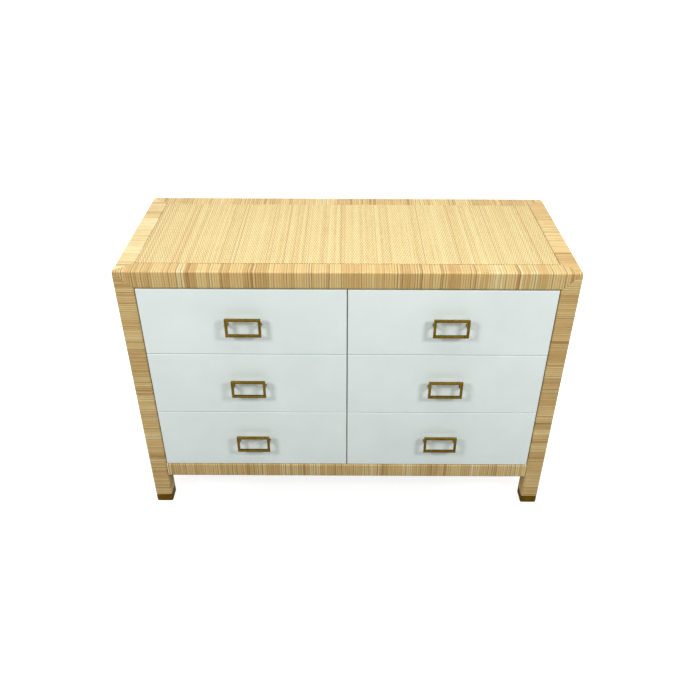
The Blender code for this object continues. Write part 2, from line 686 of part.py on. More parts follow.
def build_case():
    posts = {(side, end): make_post(side, end) for side in (-1, 1) for end in (-1, 1)}
    caps = [make_foot_cap(side, end) for side in (-1, 1) for end in (-1, 1)]
    long_tops = {end: make_long_top_rail(end) for end in (-1, 1)}
    side_tops = {side: make_side_top_rail(side) for side in (-1, 1)}
    long_bottoms = {end: make_long_bottom_rail(end, (posts[-1, end], posts[1, end]))
                    for end in (-1, 1)}
    side_bottoms = {side: make_side_bottom_rail(side, (posts[side, -1], posts[side, 1]))
                    for side in (-1, 1)}
    top_rails = list(long_tops.values()) + list(side_tops.values())
    bottom_rails = list(long_bottoms.values()) + list(side_bottoms.values())
    panels = [make_top_panel(top_rails)]
    for side in (-1, 1):
        members = (posts[side, -1], posts[side, 1], side_tops[side], side_bottoms[side])
        panels.append(make_side_panel(side, members))
    panels.append(make_back_panel((posts[-1, 1], posts[1, 1], long_tops[1], long_bottoms[1])))
    panels.append(make_bottom_panel(bottom_rails))
    carriers = [make_runner_side(-1), make_runner_side(1), make_centre_divider()]
    pieces = list(posts.values()) + caps + top_rails + bottom_rails + panels + carriers
    for piece in pieces:
        place_at_own_centre(piece)


def build_drawers():
    """One drawer of each hand is made, and its pieces' meshes serve the rest of its column."""
    patterns = {
        "front_left": drawer_front("front_left", -1),
        "front_right": drawer_front("front_right", 1),
        "side_left": drawer_side("side_left", -1),
        "side_right": drawer_side("side_right", 1),
        "back": drawer_back("back"),
        "bottom": drawer_bottom("bottom"),
        "pull": drawer_pull("pull"),
    }
    for row, row_name in enumerate(ROWS):
        for column_side, column_name in zip((-1, 1), COLUMNS):
            drawer = f"drawer_{row_name}_{column_name}"
            slide = bpy.data.objects.new(f"{drawer}_slide", None)
            slide.empty_display_size = RUNNER_WIDTH
            slide.location = (column_side * FRONT_CENTRE_X, FACE_Y, row_centre(row))
            DRESSER.objects.link(slide)
            shift = Vector((column_side * BOX_SHIFT, 0, 0))
            fitted = {
                "front": (patterns[f"front_{column_name}"], Vector()),
                "side_left": (patterns["side_left"], shift),
                "side_right": (patterns["side_right"], shift),
                "back": (patterns["back"], shift),
                "bottom": (patterns["bottom"], shift),
                "pull": (patterns["pull"], Vector()),
            }
            for piece_name, (pattern, offset) in fitted.items():
                piece = bpy.data.objects.new(f"{drawer}_{piece_name}", pattern.data)
                piece.location = offset
                piece.parent = slide
                DRESSER.objects.link(piece)
    for pattern in patterns.values():
        bpy.data.objects.remove(pattern, do_unlink=True)


def main():
    build_case()
    build_drawers()
    bpy.context.view_layer.update()
    print(f"front {FRONT_WIDTH:.4f} x {FRONT_HEIGHT:.4f}, box {BOX_WIDTH:.4f} x {BOX_HEIGHT:.4f}"
          f" x {BOX_BACK:.4f}")


main()
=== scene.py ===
# %% [markdown]
# # A six-drawer dresser in wrapped cane and white lacquer
#
# The real dresser is a square wooden frame that is wrapped, strand by strand, in split cane. Its top and
# sides are close-woven mats, its six drawers have plain lacquered fronts, and its pulls and foot caps are
# aged brass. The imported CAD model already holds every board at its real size, so this lesson keeps those
# solids and gives them a finish, and only the wrapped and woven surfaces are built again in more detail.

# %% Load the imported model
import math
import random

import bmesh
import bpy
from mathutils import Matrix, Vector


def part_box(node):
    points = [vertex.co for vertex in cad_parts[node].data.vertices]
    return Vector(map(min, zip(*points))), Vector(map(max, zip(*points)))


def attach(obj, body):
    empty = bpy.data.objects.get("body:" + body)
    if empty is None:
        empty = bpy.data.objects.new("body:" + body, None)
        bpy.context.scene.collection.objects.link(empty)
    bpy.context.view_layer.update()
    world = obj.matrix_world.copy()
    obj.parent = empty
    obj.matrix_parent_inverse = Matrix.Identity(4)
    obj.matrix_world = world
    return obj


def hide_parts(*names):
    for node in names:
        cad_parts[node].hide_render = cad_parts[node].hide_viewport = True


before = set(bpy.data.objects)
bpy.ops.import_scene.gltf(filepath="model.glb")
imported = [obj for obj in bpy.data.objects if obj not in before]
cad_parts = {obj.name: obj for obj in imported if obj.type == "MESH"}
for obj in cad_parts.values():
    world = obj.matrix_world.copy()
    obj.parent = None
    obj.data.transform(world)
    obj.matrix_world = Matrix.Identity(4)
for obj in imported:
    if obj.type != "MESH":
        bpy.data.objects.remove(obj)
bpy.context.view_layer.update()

# %% [markdown]
# ## Sizes that every step shares
#
# The frame members are 55 mm square, and eight strands of cane fit side by side in that width at a corner.
# The same pitch is used there on the posts and on the rails, because then the strands of two members meet
# one by one along the mitres, as they do on a well wrapped corner. Away from the corners the strands have
# the pitch that was measured along the front rail of the photograph, and the mats are woven from cane of
# half that width.

# %% Read the case's sizes from the CAD nodes
case_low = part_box("foot_cap_front_left")[0]
case_high = Vector((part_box("foot_cap_back_right")[1].x,
                    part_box("foot_cap_back_right")[1].y,
                    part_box("top_rail_front")[1].z))
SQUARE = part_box("foot_cap_front_left")[1].x - case_low.x
CAP_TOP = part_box("foot_cap_front_left")[1].z
RAIL_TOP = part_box("bottom_rail_front")[1].z
RAIL_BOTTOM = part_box("bottom_rail_front")[0].z
RAIL_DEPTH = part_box("bottom_rail_left")[1].x - case_low.x
SEAT_GAP = 0.0003
EDGE_ROUNDING = 0.0055
CORNER_STRANDS = 8
CORNER_PITCH = SQUARE / CORNER_STRANDS
STRAND_PITCH = 0.0071
MITRE_LENGTH = SQUARE + CORNER_PITCH / 2
print(f"case {case_high - case_low}, member {SQUARE * 1000:.1f} mm, strand {STRAND_PITCH * 1000:.2f} mm")

# %% [markdown]
# ## The camera
#
# The photograph looks down on the dresser from about 34 degrees above level, just over two metres away.
# The lens, the place and the turn below come from fitting the case's edges to the picture, so the render
# and the photograph can be laid over each other.

# %% Set up the camera
CAMERA_PLACE = Vector((0.0015, -2.0106, 1.8323))
CAMERA_PITCH = math.radians(34.16)
CAMERA_YAW = math.radians(0.03)
CAMERA_ROLL = math.radians(0.28)
LENS = 36.52
SENSOR = 36.0
PICTURE_WIDTH = 700
SHIFT = 2 / PICTURE_WIDTH

forward = Vector((math.sin(CAMERA_YAW) * math.cos(CAMERA_PITCH),
                  math.cos(CAMERA_YAW) * math.cos(CAMERA_PITCH),
                  -math.sin(CAMERA_PITCH)))
level = Vector((math.cos(CAMERA_YAW), -math.sin(CAMERA_YAW), 0.0))
upright = level.cross(forward)
right = math.cos(CAMERA_ROLL) * level + math.sin(CAMERA_ROLL) * upright
up = math.cos(CAMERA_ROLL) * upright - math.sin(CAMERA_ROLL) * level

camera = bpy.data.objects.new("camera", bpy.data.cameras.new("camera"))
bpy.context.scene.collection.objects.link(camera)
camera.data.lens = LENS
camera.data.sensor_width = SENSOR
camera.data.shift_x = SHIFT
camera.matrix_world = Matrix((right, up, -forward)).transposed().to_4x4()
camera.location = CAMERA_PLACE
bpy.context.scene.camera = camera
bpy.context.scene.view_settings.view_transform = "Standard"
print("camera at", [round(v, 3) for v in CAMERA_PLACE])

# %% [markdown]
# ## A small tool for finishes
#
# Every finish here is a network of shader nodes. Making and joining nodes by hand takes three lines each,
# so this class holds one material and has a short call for each kind of node. A value that is a socket is
# linked, and any other value is set on the socket itself.

# %% Define the finish builder
class Finish:
    """One material under construction."""

    def __init__(self, name):
        self.material = bpy.data.materials.new(name)
        self.material.use_nodes = True
        self.tree = self.material.node_tree
        self.surface = self.tree.nodes["Principled BSDF"]

    def plug(self, socket, value):
        if isinstance(value, bpy.types.NodeSocket):
            self.tree.links.new(value, socket)
        else:
            socket.default_value = value

    def add(self, kind, inputs=None, **settings):
        node = self.tree.nodes.new("ShaderNode" + kind)
        for name, value in settings.items():
            setattr(node, name, value)
        for socket, value in (inputs or {}).items():
            self.plug(node.inputs[socket], value)
        return node

    def math(self, operation, *values):
        return self.add("Math", dict(enumerate(values)), operation=operation).outputs[0]

    def total(self, start, *shares):
        """The start plus each value times its share, from (value, share) pairs."""
        for value, share in shares:
            start = self.math("MULTIPLY_ADD", value, share, start)
        return start

    def off_middle(self, count):
        """How far a running count is from the middle of its step: 0 there and 1 at either end."""
        return self.math("ABSOLUTE", self.math("MULTIPLY_ADD", self.math("FRACT", count), 2.0, -1.0))

    def mix(self, factor, first, second, blend="MIX"):
        inputs = {0: factor, 6: first, 7: second}
        return self.add("Mix", inputs, data_type="RGBA", blend_type=blend).outputs[2]

    def ramp(self, factor, *stops):
        """A colour ramp with its stops given as (place, colour) pairs."""
        node = self.add("ValToRGB", {0: factor})
        elements = node.color_ramp.elements
        while len(elements) < len(stops):
            elements.new(0.5)
        for element, (place, colour) in zip(elements, stops):
            element.position = place
            element.color = (*colour, 1.0)
        return node.outputs[0]

    def curve(self, factor, *stops):
        """A grey ramp: the stops are (place, value) pairs."""
        return self.ramp(factor, *[(place, (value, value, value)) for place, value in stops])

    def attribute(self, name, output="Fac"):
        """What the piece's points carry under the name."""
        return self.add("Attribute", attribute_name=name).outputs[output]

    def chance(self, number):
        """A random value from 0 to 1 that depends on the number alone."""
        return self.add("TexWhiteNoise", {"W": number}, noise_dimensions="1D").outputs["Value"]

    def place(self, scale=(1, 1, 1)):
        """The piece's own coordinates in metres, times the scale."""
        coordinates = self.add("TexCoord").outputs["Object"]
        return self.add("VectorMath", {0: coordinates, 1: scale}, operation="MULTIPLY").outputs[0]

    def shift(self, vector, amount):
        """The vector moved by the same amount along all three axes."""
        return self.add("VectorMath", {0: vector, 1: amount}, operation="ADD").outputs[0]

    def noise(self, vector, scale, detail, roughness=0.5):
        inputs = {"Vector": vector, "Scale": scale, "Detail": detail, "Roughness": roughness}
        return self.add("TexNoise", inputs).outputs[0]

    def bump(self, height, distance, strength):
        inputs = {"Height": height, "Distance": distance, "Strength": strength}
        self.plug(self.surface.inputs["Normal"], self.add("Bump", inputs).outputs[0])

    def set(self, **values):
        """Set the shader's own sockets, by name with underscores for spaces."""
        for name, value in values.items():
            self.plug(self.surface.inputs[name.replace("_", " ")], value)
        return self.material


print("finish builder ready")

# %% [markdown]
# ## Split cane
#
# Cane is the glossy skin of rattan, split into strands. It comes in hanks, so a few strands in a row share
# one tone, from pale cream to honey brown, and each strand adds a little of its own. Its edges wander, fine
# fibres run along it, and the joint to the next strand is dark, here and there almost open. The darkening
# that grows towards each joint is partly the joint's own colour and partly painted shade of the valley
# between two rounded strands. The wrapped members carry two point attributes. "strand" counts the strands,
# so the material knows which strand it is on and how near to its edge, and "paleness" says how much paler
# a whole member's cane is.

# %% Make the cane finish
STRAND_WANDER = 0.36
FIGURE_WANDER = 1.3
STRANDS_TO_HANKS = 0.21
OPEN_JOINT_COLOUR = (0.16, 0.085, 0.035, 1.0)
OPEN_JOINT_SHARE = 0.55


def make_cane(name):
    cane = Finish(name)
    wander = cane.noise(cane.place(), 28.0, 2.0)
    aside = cane.total(-STRAND_WANDER / 2, (wander, STRAND_WANDER))
    strand = cane.math("ADD", cane.attribute("strand"), aside)
    number = cane.math("FLOOR", strand)
    across = cane.off_middle(strand)
    figure = cane.math("ADD", strand, cane.math("MULTIPLY", wander, FIGURE_WANDER))

    def streaks(scale, stride, detail):
        """Noise drawn out along the strands, because its place moves on by the stride at each one."""
        moved = cane.shift(cane.place((scale, scale, scale)), cane.math("MULTIPLY", figure, stride))
        return cane.noise(moved, 1.0, detail, 0.6)

    hank_place = cane.math("MULTIPLY", number, STRANDS_TO_HANKS)
    hank_cell = cane.add("TexVoronoi", {"W": hank_place, "Scale": 1.0}, voronoi_dimensions="1D")
    hank_tone = cane.add("SeparateColor", {0: hank_cell.outputs["Color"]}).outputs[0]
    own_tone = cane.chance(number)
    drift = cane.noise(cane.shift(cane.place(), cane.math("MULTIPLY", number, 3.7)), 14.0, 2.0)
    fibres = streaks(30, 4.3, 4.0)
    hairs = streaks(55, 17.0, 3.0)
    odd = cane.chance(cane.math("ADD", number, 0.5))
    odd_dark = cane.curve(odd, (0.91, 0.0), (0.97, 1.0))
    odd_pale = cane.curve(odd, (0.02, 1.0), (0.08, 0.0))

    tone = cane.total(-0.13, (hank_tone, 0.44), (own_tone, 0.20), (drift, 0.26), (fibres, 0.34),
                      (hairs, 0.18), (odd_dark, -0.30), (odd_pale, 0.24))
    colour = cane.ramp(tone,
                       (0.14, (0.39, 0.210, 0.057)),
                       (0.34, (0.54, 0.342, 0.108)),
                       (0.56, (0.65, 0.440, 0.159)),
                       (0.78, (0.72, 0.532, 0.219)),
                       (1.00, (0.79, 0.640, 0.331)))
    pale_colour = cane.ramp(tone,
                         (0.25, (0.64, 0.450, 0.170)),
                         (0.50, (0.84, 0.690, 0.350)),
                         (0.80, (0.92, 0.800, 0.460)))
    colour = cane.mix(cane.attribute("paleness"), colour, pale_colour)

    nearest_joint = cane.math("FLOOR", cane.math("ADD", strand, 0.5))
    joint_chance = cane.chance(nearest_joint)
    # Darker towards each joint: partly the joint's own colour, and partly painted shade of the valley
    # between strands.
    joint = cane.curve(across, (0.0, 1.0), (0.50, 0.98), (0.80, 0.82), (1.0, 0.38))
    depth = cane.curve(joint_chance, (0.10, 0.50), (0.60, 1.0))
    colour = cane.mix(depth, colour, cane.mix(1.0, colour, joint, "MULTIPLY"))
    open_joint = cane.math("MULTIPLY", cane.curve(joint_chance, (0.74, 0.0), (0.92, 1.0)),
                           cane.curve(across, (0.25, 0.0), (0.90, 1.0)))
    open_joint = cane.math("MULTIPLY", open_joint, OPEN_JOINT_SHARE)
    colour = cane.mix(open_joint, colour, OPEN_JOINT_COLOUR)
    cane.bump(hairs, 0.0002, 0.6)
    return cane.set(Base_Color=colour, Roughness=cane.total(0.30, (fibres, 0.25)),
                    Specular_IOR_Level=0.5, Coat_Weight=0.12, Coat_Roughness=0.30)


CANE = make_cane("cane_wrap")
print("made", CANE.name)

# %% [markdown]
# ## The woven mat
#
# The mats are woven from finer cane, packed close. Each strand of a column passes over five crossing
# strands and under the sixth, and every other column is half a stitch further on, so the face shows long
# narrow stitches laid like bricks, with a small tuck between the ends of two. The tucks and the edges of
# each column are darkened with painted shade. Both lengths were measured on the photograph's top after
# flattening it. Some columns are honey coloured, mostly every third one, and the side mats are a little
# more so all over, which is painted shade. A vector attribute named "stitch" counts the columns and the
# stitches in them, and its third value is 0 on the top and 1 or 2 on the sides.

# %% Make the mat finish
MAT_PITCH = 0.00363
STITCH_LENGTH = 0.0213
FLOAT_SHARE = 0.80
HONEY_COLOUR = (0.70, 0.460, 0.205, 1.0)
SIDE_SHADE_HONEY = 0.25
PLAIN_COLUMN_HONEY = 0.35
THIRD_SHIFTS = 9.0


def make_mat(name):
    mat = Finish(name)
    parts = mat.add("SeparateXYZ", {0: mat.attribute("stitch", "Vector")}).outputs
    column = mat.math("FLOOR", parts[0])
    half_step = mat.math("MULTIPLY", mat.math("MODULO", column, 2.0), 0.5)
    count = mat.math("ADD", parts[1], half_step)
    row = mat.math("FLOOR", count)
    across = mat.off_middle(parts[0])
    along = mat.off_middle(count)

    cell = mat.add("CombineXYZ", {0: column, 1: row, 2: parts[2]}).outputs[0]
    own_tone = mat.add("TexWhiteNoise", {"Vector": cell}, noise_dimensions="3D").outputs["Value"]
    column_tone = mat.chance(column)
    patch = mat.noise(mat.place(), 5.0, 3.0)
    hair_across = mat.math("MULTIPLY", parts[0], 6.0)
    hair_along = mat.math("MULTIPLY", parts[1], 1.5)
    hair_place = mat.add("CombineXYZ", {0: hair_across, 1: hair_along, 2: own_tone}).outputs[0]
    hairs = mat.noise(hair_place, 1.0, 4.0, 0.65)
    tone = mat.total(-0.16, (column_tone, 0.46), (hairs, 0.40), (own_tone, 0.24), (patch, 0.36))
    colour = mat.ramp(tone,
                      (0.10, (0.64, 0.435, 0.182)),
                      (0.40, (0.77, 0.603, 0.267)),
                      (0.70, (0.82, 0.676, 0.330)),
                      (1.00, (0.86, 0.741, 0.406)))
    # Painted shade: the side mats are drawn towards the honey colour all over, as cane looks in shadow.
    on_side = mat.math("MINIMUM", parts[2], 1.0)
    colour = mat.mix(mat.math("MULTIPLY", on_side, SIDE_SHADE_HONEY), colour, HONEY_COLOUR)

    warm = mat.chance(mat.math("ADD", column, 0.5))
    bundle_inputs = {"W": column, "Scale": 0.06, "Detail": 2.0}
    bundle = mat.add("TexNoise", bundle_inputs, noise_dimensions="1D").outputs[0]
    skipped = mat.math("ADD", column, mat.math("FLOOR", mat.math("MULTIPLY", bundle, THIRD_SHIFTS)))
    third = mat.math("LESS_THAN", mat.math("MODULO", skipped, 3.0), 0.5)
    warmth = mat.math("MULTIPLY", mat.curve(warm, (0.40, 0.22), (0.85, 1.0)),
                      mat.curve(bundle, (0.40, 0.30), (0.60, 1.0)))
    warmth = mat.math("MULTIPLY", warmth, mat.total(PLAIN_COLUMN_HONEY, (third, 1 - PLAIN_COLUMN_HONEY)))
    colour = mat.mix(warmth, colour, HONEY_COLOUR)

    # Painted shade: column edges and the tucks between stitches are darkened where the strands sink, and
    # more so in the warm columns.
    edge = mat.curve(across, (0.0, 1.0), (0.6, 0.97), (1.0, 0.62))
    tuck_shade = mat.curve(along, (0.0, 1.0), (0.35, 0.97), (0.65, 0.86), (FLOAT_SHARE, 0.76), (1.0, 0.62))
    warm_tuck_shade = mat.curve(along, (0.50, 1.0), (FLOAT_SHARE, 0.76), (1.0, 0.50))
    colour = mat.mix(1.0, mat.mix(1.0, colour, edge, "MULTIPLY"), tuck_shade, "MULTIPLY")
    colour = mat.mix(warmth, colour, mat.mix(1.0, colour, warm_tuck_shade, "MULTIPLY"))
    mat.bump(hairs, 0.0003, 0.6)
    return mat.set(Base_Color=colour, Roughness=0.58, Specular_IOR_Level=0.30)


MAT = make_mat("woven_mat")
print("made", MAT.name)

# %% [markdown]
# ## Lacquer, brass and the boards inside
#
# The fronts are sprayed with a hard white lacquer: nearly smooth, a little cool, with the faint orange
# peel that a spray gun leaves. The pulls and caps are brass that was darkened and rubbed back, so it goes
# from olive gold to brown. The caps get a darker, rougher copy of it, and its darker colour is painted
# shade for their place low down by the floor. The sides and backs of the drawers are pale wood with growth
# rings, and their bottoms and the case's inner boards are plywood. The grain follows each board's length.

# %% Make the lacquer finish
def make_lacquer(name):
    lacquer = Finish(name)
    cloud = lacquer.noise(lacquer.place(), 6.0, 3.0)
    colour = lacquer.ramp(cloud, (0.35, (0.81, 0.898, 0.868)), (0.65, (0.86, 0.943, 0.913)))
    peel = lacquer.noise(lacquer.place(), 420.0, 2.0)
    lacquer.bump(peel, 0.00006, 0.5)
    return lacquer.set(Base_Color=colour, Roughness=lacquer.total(0.30, (cloud, 0.10)),
                       Specular_IOR_Level=0.5)


LACQUER = make_lacquer("white_lacquer")
print("made", LACQUER.name)

# %% Make the brass finish
def make_brass(name, polish, dark, middle, light):
    """Old brass. The polish is its least roughness, and the three colours go from dark to light."""
    brass = Finish(name)
    tarnish = brass.noise(brass.place(), 55.0, 6.0, 0.7)
    scratches = brass.noise(brass.place((1.0, 8.0, 8.0)), 180.0, 4.0)
    tone = brass.total(0.0, (tarnish, 0.70), (scratches, 0.30))
    colour = brass.ramp(tone, (0.30, dark), (0.52, middle), (0.75, light))
    brass.bump(scratches, 0.00006, 0.7)
    return brass.set(Base_Color=colour, Metallic=1.0, Roughness=brass.total(polish, (tarnish, 0.25)))


BRASS = make_brass("aged_brass", 0.08,
                   (0.130, 0.075, 0.005), (0.225, 0.140, 0.014), (0.350, 0.235, 0.036))
# Painted shade: the caps' brass is darker than the pulls', for their place low down in shade.
SHADED_CAP_BRASS = make_brass("shaded_cap_brass", 0.30,
                       (0.120, 0.062, 0.003), (0.200, 0.105, 0.004), (0.300, 0.165, 0.008))
print("made", BRASS.name, "and", SHADED_CAP_BRASS.name)

# %% Make the wood finishes, one for each direction of the grain
GRAIN_STRETCH = 20.0
RING_COUNT = 9.0
PORE_SCALE = 14.0


def make_wood(name, along, pale, dark, scale):
    """Wood whose grain runs along the axis number given: 0 across the case and 1 from front to back."""
    wood = Finish(name)
    stretch = [scale, scale, scale]
    stretch[along] = scale / GRAIN_STRETCH
    grain = wood.noise(wood.place(stretch), 1.0, 5.0, 0.6)
    rings = wood.math("FRACT", wood.math("MULTIPLY", grain, RING_COUNT))
    growth = wood.curve(rings, (0.0, 0.0), (0.75, 1.0), (1.0, 0.0))
    pores = wood.noise(wood.place([PORE_SCALE * s for s in stretch]), 1.0, 3.0, 0.6)
    tone = wood.total(0.0, (grain, 0.40), (pores, 0.40), (growth, 0.16))
    colour = wood.ramp(tone, (0.32, dark), (0.66, pale))
    wood.bump(pores, 0.00015, 0.4)
    return wood.set(Base_Color=colour, Roughness=0.55, Specular_IOR_Level=0.35)


DRAWER_PALE, DRAWER_DARK, DRAWER_SCALE = (0.66, 0.50, 0.31), (0.47, 0.31, 0.165), 34.0
PLY_PALE, PLY_DARK, PLY_SCALE = (0.62, 0.46, 0.29), (0.42, 0.28, 0.155), 22.0
DRAWER_WOOD, PLYWOOD = [], []
for axis in range(2):
    DRAWER_WOOD.append(make_wood(f"drawer_wood_{axis}", axis, DRAWER_PALE, DRAWER_DARK, DRAWER_SCALE))
    PLYWOOD.append(make_wood(f"plywood_{axis}", axis, PLY_PALE, PLY_DARK, PLY_SCALE))
print("made", [m.name for m in DRAWER_WOOD + PLYWOOD])

# %% [markdown]
# ## Setting out the strands
#
# A wrapper starts each mitred corner with strands of one width, so that they meet the neighbour's, and
# evens out the rest along the member. Here the joints between strands are a list of distances along the
# member: equal at the mitred ends, and slightly uneven between them.

# %% Define where the joints between strands fall
UNEVENNESS = 0.15


def strand_joints(low, high, mitred_low, mitred_high, chance):
    """The joints from one end of a member to the other, each end being mitred or not."""
    start = low + SQUARE * mitred_low
    end = high - SQUARE * mitred_high
    count = round((end - start) / STRAND_PITCH)
    widths = [1 + chance.uniform(-UNEVENNESS, UNEVENNESS) for _ in range(count)]
    step = (end - start) / sum(widths)
    joints = [low + i * CORNER_PITCH for i in range(CORNER_STRANDS * mitred_low)]
    joints.append(start)
    for width in widths:
        joints.append(joints[-1] + width * step)
    joints += [end + (i + 1) * CORNER_PITCH for i in range(CORNER_STRANDS * mitred_high)]
    return joints


print("about", round((case_high.x - case_low.x) / STRAND_PITCH), "strands along a long top rail")

# %% [markdown]
# ## One wrapped member
#
# A member could be a hundred small rings, one per strand, but then every strand has hidden side walls.
# It is lighter to take one long bar, round its four long edges, cut it into rings, and pull each ring in
# towards the middle by the depth of a flattened strand there: nothing at the crown, most at the joint. The
# joints also sway a little along the bar, by another amount at each of its four corners.

# %% Define the wrapped bar
STRAND_RISE = 0.0008
STRAND_FLATNESS = 2.6
RING_PLACES = (0.0, 0.08, 0.24, 0.5, 0.76, 0.92)
ROUNDING_SEGMENTS = 4
FLAT_WIDTH = 2 * EDGE_ROUNDING
RAIL_SWAY, POST_SWAY, BOTTOM_SWAY = 0.0003, 0.0006, 0.0006
LOWEST_CROWN = 0.25
PARALLEL = 0.9
COUNT_TOLERANCE = 1e-4


def strand_depth(place):
    """How far a strand's surface lies below its crown, from 0 to 1, at a place from 0 to 1 across it."""
    return 1 - (1 - abs(2 * place - 1) ** STRAND_FLATNESS) ** (1 / STRAND_FLATNESS)


def set_box(bm, low, high):
    """Start a bmesh as a block between two corners."""
    made = bmesh.ops.create_cube(bm, size=1.0)
    size = high - low
    bmesh.ops.scale(bm, vec=size, verts=made["verts"])
    bmesh.ops.translate(bm, vec=(low + high) / 2, verts=made["verts"])


def runs_along(edge, axis):
    span = edge.verts[1].co - edge.verts[0].co
    return abs(span[axis]) > PARALLEL * span.length


def on_joint(vert, count):
    """Whether the vertex lies between two strands, by the whole number that it carries there."""
    return abs(vert[count] % 1) < COUNT_TOLERANCE


def wrapped_bar(axis, low, high, joints, chance, first_number, sway, still_low, still_high):
    """A square bar wrapped in strands. Strands in the still lengths at its ends have no sway."""
    bm = bmesh.new()
    set_box(bm, low, high)
    bmesh.ops.bevel(bm, geom=[e for e in bm.edges if runs_along(e, axis)], offset=EDGE_ROUNDING,
                    offset_type="OFFSET", segments=ROUNDING_SEGMENTS, profile=0.5, affect="EDGES",
                    material=-1, clamp_overlap=True)
    long_edges = [e for e in bm.edges if runs_along(e, axis)]
    flat_area = FLAT_WIDTH * (high - low)[axis]
    for edge in long_edges:
        edge.smooth = all(face.calc_area() < flat_area for face in edge.link_faces)
    rings = (len(joints) - 1) * len(RING_PLACES)
    bmesh.ops.subdivide_edges(bm, edges=long_edges, cuts=rings - 1, use_grid_fill=True)

    count = bm.verts.layers.float.new("strand")
    centre = (low + high) / 2
    length = high[axis] - low[axis]
    others = [i for i in range(3) if i != axis]
    crown_depths = [chance.uniform(0.0, LOWEST_CROWN) for _ in joints]
    sways = [[chance.uniform(-sway, sway) for _ in range(4)] for _ in joints]
    for vert in bm.verts:
        ring = round((vert.co[axis] - low[axis]) / length * rings)
        strand, station = divmod(ring, len(RING_PLACES))
        place = RING_PLACES[station]
        following = min(strand + 1, len(joints) - 1)
        quarter = 2 * (vert.co[others[0]] > centre[others[0]]) + (vert.co[others[1]] > centre[others[1]])
        ends = []
        for joint in (strand, following):
            calm = joints[joint] < low[axis] + still_low or joints[joint] > high[axis] - still_high
            ends.append(joints[joint] + (0 if calm else sways[joint][quarter]))
        vert[count] = first_number + strand + place
        vert.co[axis] = ends[0] + place * (ends[1] - ends[0])
        depth = STRAND_RISE * max(strand_depth(place), crown_depths[strand] * (0 < place))
        for other in others:
            half = (high[other] - low[other]) / 2
            vert.co[other] = centre[other] + (vert.co[other] - centre[other]) * (1 - depth / half)
    for edge in bm.edges:
        if not runs_along(edge, axis) and all(on_joint(vert, count) for vert in edge.verts):
            edge.smooth = False
    return bm


print("strand rise", STRAND_RISE * 1000, "mm over", len(RING_PLACES), "rings")

# %% [markdown]
# ## Mitring the ends
#
# Three members meet at each top corner, and each keeps the part of the corner that is further along its
# own length than along either neighbour's. Two slanting cuts make that end: a bisecting plane for each
# neighbour, through the outer corner, with the waste cleared and the cut closed by one face.

# %% Define the mitre cut and the worn corner
CORNER_RADIUS = 0.011
CUT_TOLERANCE = 1e-7


def soften_corner(bm, corner, inward):
    """Draw the points near the outer corner in to a ball, fully at its tip and less further away."""
    centre = corner + inward * CORNER_RADIUS
    for vert in bm.verts:
        away = [(corner[i] - vert.co[i]) * -inward[i] for i in range(3)]
        if max(away) < CORNER_RADIUS:
            reach = vert.co - centre
            share = 1 - max(away) / CORNER_RADIUS
            share = share * share * (3 - 2 * share)
            shorter = min(1.0, CORNER_RADIUS / reach.length)
            vert.co = centre + reach * (1 - share + share * shorter)


def mitre(bm, corner, along, neighbours):
    """Cut a member's end at the corner. The directions point inwards from it."""
    for neighbour in neighbours:
        normal = (neighbour - along).normalized()
        cut = bmesh.ops.bisect_plane(bm, geom=bm.verts[:] + bm.edges[:] + bm.faces[:],
                                     dist=CUT_TOLERANCE, plane_co=corner - normal * SEAT_GAP / 2,
                                     plane_no=normal, clear_outer=True)
        rim = [g for g in cut["geom_cut"] if isinstance(g, bmesh.types.BMEdge)]
        filled = bmesh.ops.edgeloop_fill(bm, edges=[e for e in rim if e.is_boundary])
        for face in filled["faces"]:
            for edge in face.edges:
                edge.smooth = False
    bmesh.ops.recalc_face_normals(bm, faces=bm.faces[:])


def finish_piece(name, bm, material, smooth=True):
    """Turn the bmesh into a piece that rides on the case and takes its finish from a slot."""
    for face in bm.faces:
        face.smooth = smooth
    mesh = bpy.data.meshes.new(name)
    bm.to_mesh(mesh)
    bm.free()
    mesh.materials.append(material)
    piece = bpy.data.objects.new(name, mesh)
    bpy.context.scene.collection.objects.link(piece)
    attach(piece, "case")
    return piece


IN_X = {"left": Vector((1, 0, 0)), "right": Vector((-1, 0, 0))}
IN_Y = {"front": Vector((0, 1, 0)), "back": Vector((0, -1, 0))}
DOWN = Vector((0, 0, -1))


def outer_corner(side, end):
    """The case's outer top corner on that side, left or right, and at that end, front or back."""
    return Vector((case_low.x if side == "left" else case_high.x,
                   case_low.y if end == "front" else case_high.y,
                   case_high.z))


print("corner", outer_corner("left", "front"))

# %% [markdown]
# ## The top rails
#
# The front and back rails run across the case and the side rails run from front to back. They are the
# same bar in two directions, mitred at both ends. The left rail is wrapped in much paler cane.

# %% Make the four top rails
NUMBER_STEP = 1000
LEFT_RAIL_PALENESS = 0.62
BOTTOM_RAIL_PALENESS = 0.22
made_members = []


def next_number():
    """Strand numbers of a new member, far from every other's, so that no two share their tones."""
    return NUMBER_STEP * (len(made_members) + 1)


def add_member(node, bm, paleness=0.0):
    """Write the paleness on every point and put the bar in the place of its CAD node."""
    layer = bm.verts.layers.float.new("paleness")
    for vert in bm.verts:
        vert[layer] = paleness
    piece = finish_piece(node + "_wrapped", bm, CANE)
    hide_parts(node)
    made_members.append(piece)
    print(piece.name, len(piece.data.polygons), "faces")


for end in ("front", "back"):
    chance = random.Random(f"rail {end}")
    low = Vector((case_low.x, case_low.y, case_high.z - SQUARE))
    high = Vector((case_high.x, case_low.y + SQUARE, case_high.z))
    if end == "back":
        low.y, high.y = case_high.y - SQUARE, case_high.y
    joints = strand_joints(low.x, high.x, True, True, chance)
    bm = wrapped_bar(0, low, high, joints, chance, next_number(), RAIL_SWAY, MITRE_LENGTH, MITRE_LENGTH)
    for side in ("left", "right"):
        mitre(bm, outer_corner(side, end), IN_X[side], (IN_Y[end], DOWN))
        soften_corner(bm, outer_corner(side, end), IN_X[side] + IN_Y[end] + DOWN)
    add_member(f"top_rail_{end}", bm)

